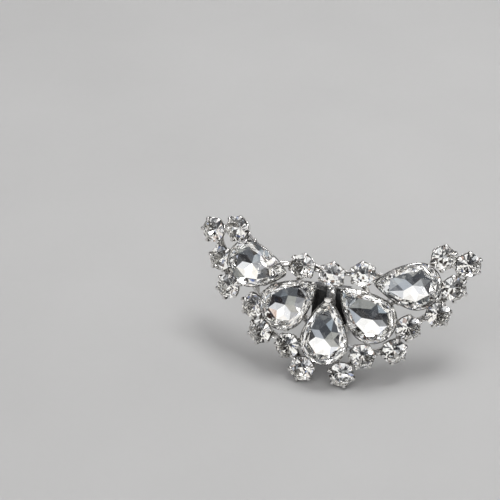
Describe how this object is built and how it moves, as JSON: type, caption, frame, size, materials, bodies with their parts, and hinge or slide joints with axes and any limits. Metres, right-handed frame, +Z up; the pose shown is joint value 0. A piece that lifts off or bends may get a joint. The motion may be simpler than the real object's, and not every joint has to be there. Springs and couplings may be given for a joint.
{
  "type": "rhinestone shoe clip",
  "caption": "Bent crescent of foil-backed pear and round glass stones in soldered claw cups, with a folded strip clip on its back that slips over a shoe's edge",
  "frame": {"origin": "bottom centre of the whole, on the surface that it stands on", "axes": "+X to the right as seen from the front, -Y toward the viewer, out of the face, +Z up"},
  "size_m": [0.0613, 0.0224, 0.0287],
  "materials": {
    "crystal": "clear faceted glass with a silver foil back, polished",
    "silver_plate": "bright silver plating on cast and soldered metal, small casting marks and dark grooves",
    "clip_steel": "plated spring steel strip, lightly brushed"
  },
  "bodies": {
    "root": {"pear_stone_left_end": "crystal", "pear_stone_left": "crystal", "pear_stone_middle": "crystal", "pear_stone_right": "crystal", "pear_stone_right_end": "crystal", "round_stone_1": "crystal", "round_stone_2": "crystal", "round_stone_3": "crystal", "round_stone_4": "crystal", "round_stone_5": "crystal", "round_stone_6": "crystal", "round_stone_7": "crystal", "round_stone_8": "crystal", "round_stone_9": "crystal", "round_stone_10": "crystal", "round_stone_11": "crystal", "round_stone_12": "crystal", "round_stone_13": "crystal", "round_stone_14": "crystal", "round_stone_15": "crystal", "round_stone_16": "crystal", "round_stone_17": "crystal", "round_stone_18": "crystal", "round_stone_19": "crystal", "setting_frame": "silver_plate", "shoe_clip": "clip_steel"}
  },
  "joints": []
}
